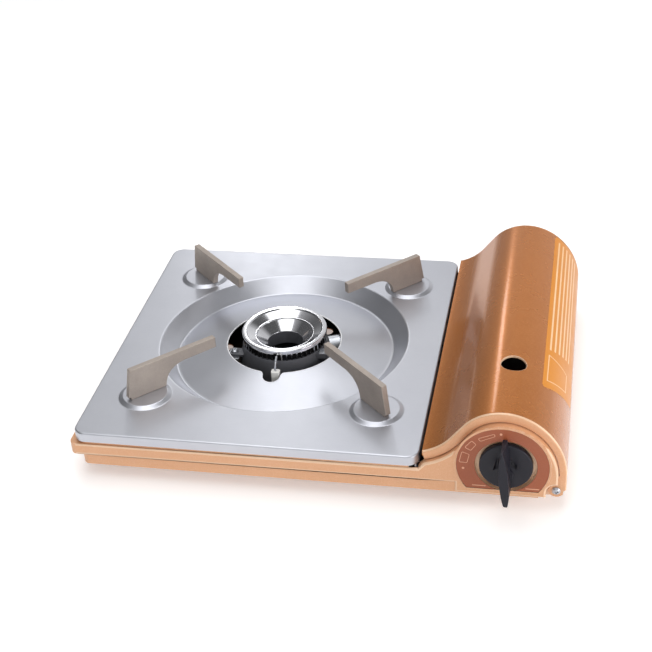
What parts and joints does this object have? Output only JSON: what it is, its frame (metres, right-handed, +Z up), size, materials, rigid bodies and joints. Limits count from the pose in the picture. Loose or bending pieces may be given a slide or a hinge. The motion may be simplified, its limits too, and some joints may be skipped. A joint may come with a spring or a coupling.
{
  "type": "tabletop butane stove",
  "caption": "Slim tabletop stove with a ring burner, lift-off plate with pot supports, turning gas knob with igniter, and a hinged lid over the cartridge bay.",
  "frame": {"origin": "middle of the bounding box, on the surface that the feet stand on", "axes": "+X from the burner to the cartridge bay, -Y towards the user and the knob, +Z up"},
  "size_m": [0.3488, 0.2899, 0.0789],
  "materials": {
    "tray_paint": "metallic copper paint, satin",
    "lid_paint": "metallic bronze paint, glossy",
    "dial_paint": "printed satin panel",
    "plate_steel": "satin rolled sheet",
    "support_cast": "grey, as cast",
    "burner_bright": "machined and polished",
    "burner_dark": "dark grey, as cast",
    "tube_steel": "drawn, dull",
    "zinc_steel": "zinc plated",
    "brass": "machined",
    "ceramic": "glazed white ceramic",
    "black_plastic": "fine grain",
    "magnet": "sintered, nickel grey",
    "rubber": "matt black"
  },
  "bodies": {
    "base": {"body_tray": "tray_paint", "dial_plate": "dial_paint", "heat_shield": "zinc_steel", "heat_strip": "burner_bright", "lid_catch": "zinc_steel", "burner_head": "burner_bright", "flame_ring": "burner_bright", "burner_body": "burner_dark", "burner_strap": "zinc_steel", "mixing_tube": "tube_steel", "burner_screw": "zinc_steel", "electrode_insulator": "ceramic", "electrode_pin": "zinc_steel", "electrode_bracket": "zinc_steel", "ignition_lead": "rubber", "valve_body": "burner_bright", "valve_bracket": "zinc_steel", "gas_nozzle": "brass", "cartridge_socket": "zinc_steel", "socket_magnet_left": "magnet", "socket_magnet_right": "magnet", "igniter_body": "black_plastic", "valve_screw_left": "zinc_steel", "valve_screw_right": "zinc_steel", "hinge_screw_front": "zinc_steel", "hinge_screw_rear": "zinc_steel", "foot_front_left": "rubber", "foot_screw_front_left": "zinc_steel", "foot_front_right": "rubber", "foot_screw_front_right": "zinc_steel", "foot_rear_left": "rubber", "foot_screw_rear_left": "zinc_steel", "foot_rear_right": "rubber", "foot_screw_rear_right": "zinc_steel", "shield_screw_front": "zinc_steel", "shield_screw_rear": "zinc_steel"},
    "cooking_plate": {"top_plate": "plate_steel", "pot_support_rear_right": "support_cast", "pot_support_rear_left": "support_cast", "pot_support_front_left": "support_cast", "pot_support_front_right": "support_cast"},
    "lid": {"lid": "lid_paint"},
    "knob": {"knob": "black_plastic", "valve_shaft": "brass", "ignition_cam": "black_plastic"},
    "igniter_plunger": {"igniter_plunger": "brass"}
  },
  "joints": [
    {"name": "lid_hinge", "type": "hinge", "parent": "base", "child": "lid", "pos_m": [0.16773, 0.0128, 0.0187], "axis": [0, 1, 0], "range_deg": [0, 100]},
    {"name": "knob_turn", "type": "hinge", "parent": "base", "child": "knob", "pos_m": [0.13417, -0.1218, 0.0393], "axis": [0, -1, 0], "range_deg": [0, 90]},
    {"name": "plate_lift", "type": "slide", "parent": "base", "child": "cooking_plate", "axis": [0, 0, 1], "range_m": [0, 0.06]},
    {"name": "igniter_press", "type": "slide", "parent": "base", "child": "igniter_plunger", "axis": [-1, 0, 0], "range_m": [0, 0.004]}
  ],
  "couplings": [
    {"joint": "igniter_press", "follows": "knob_turn", "m_per_rad": 0.002546}
  ]
}
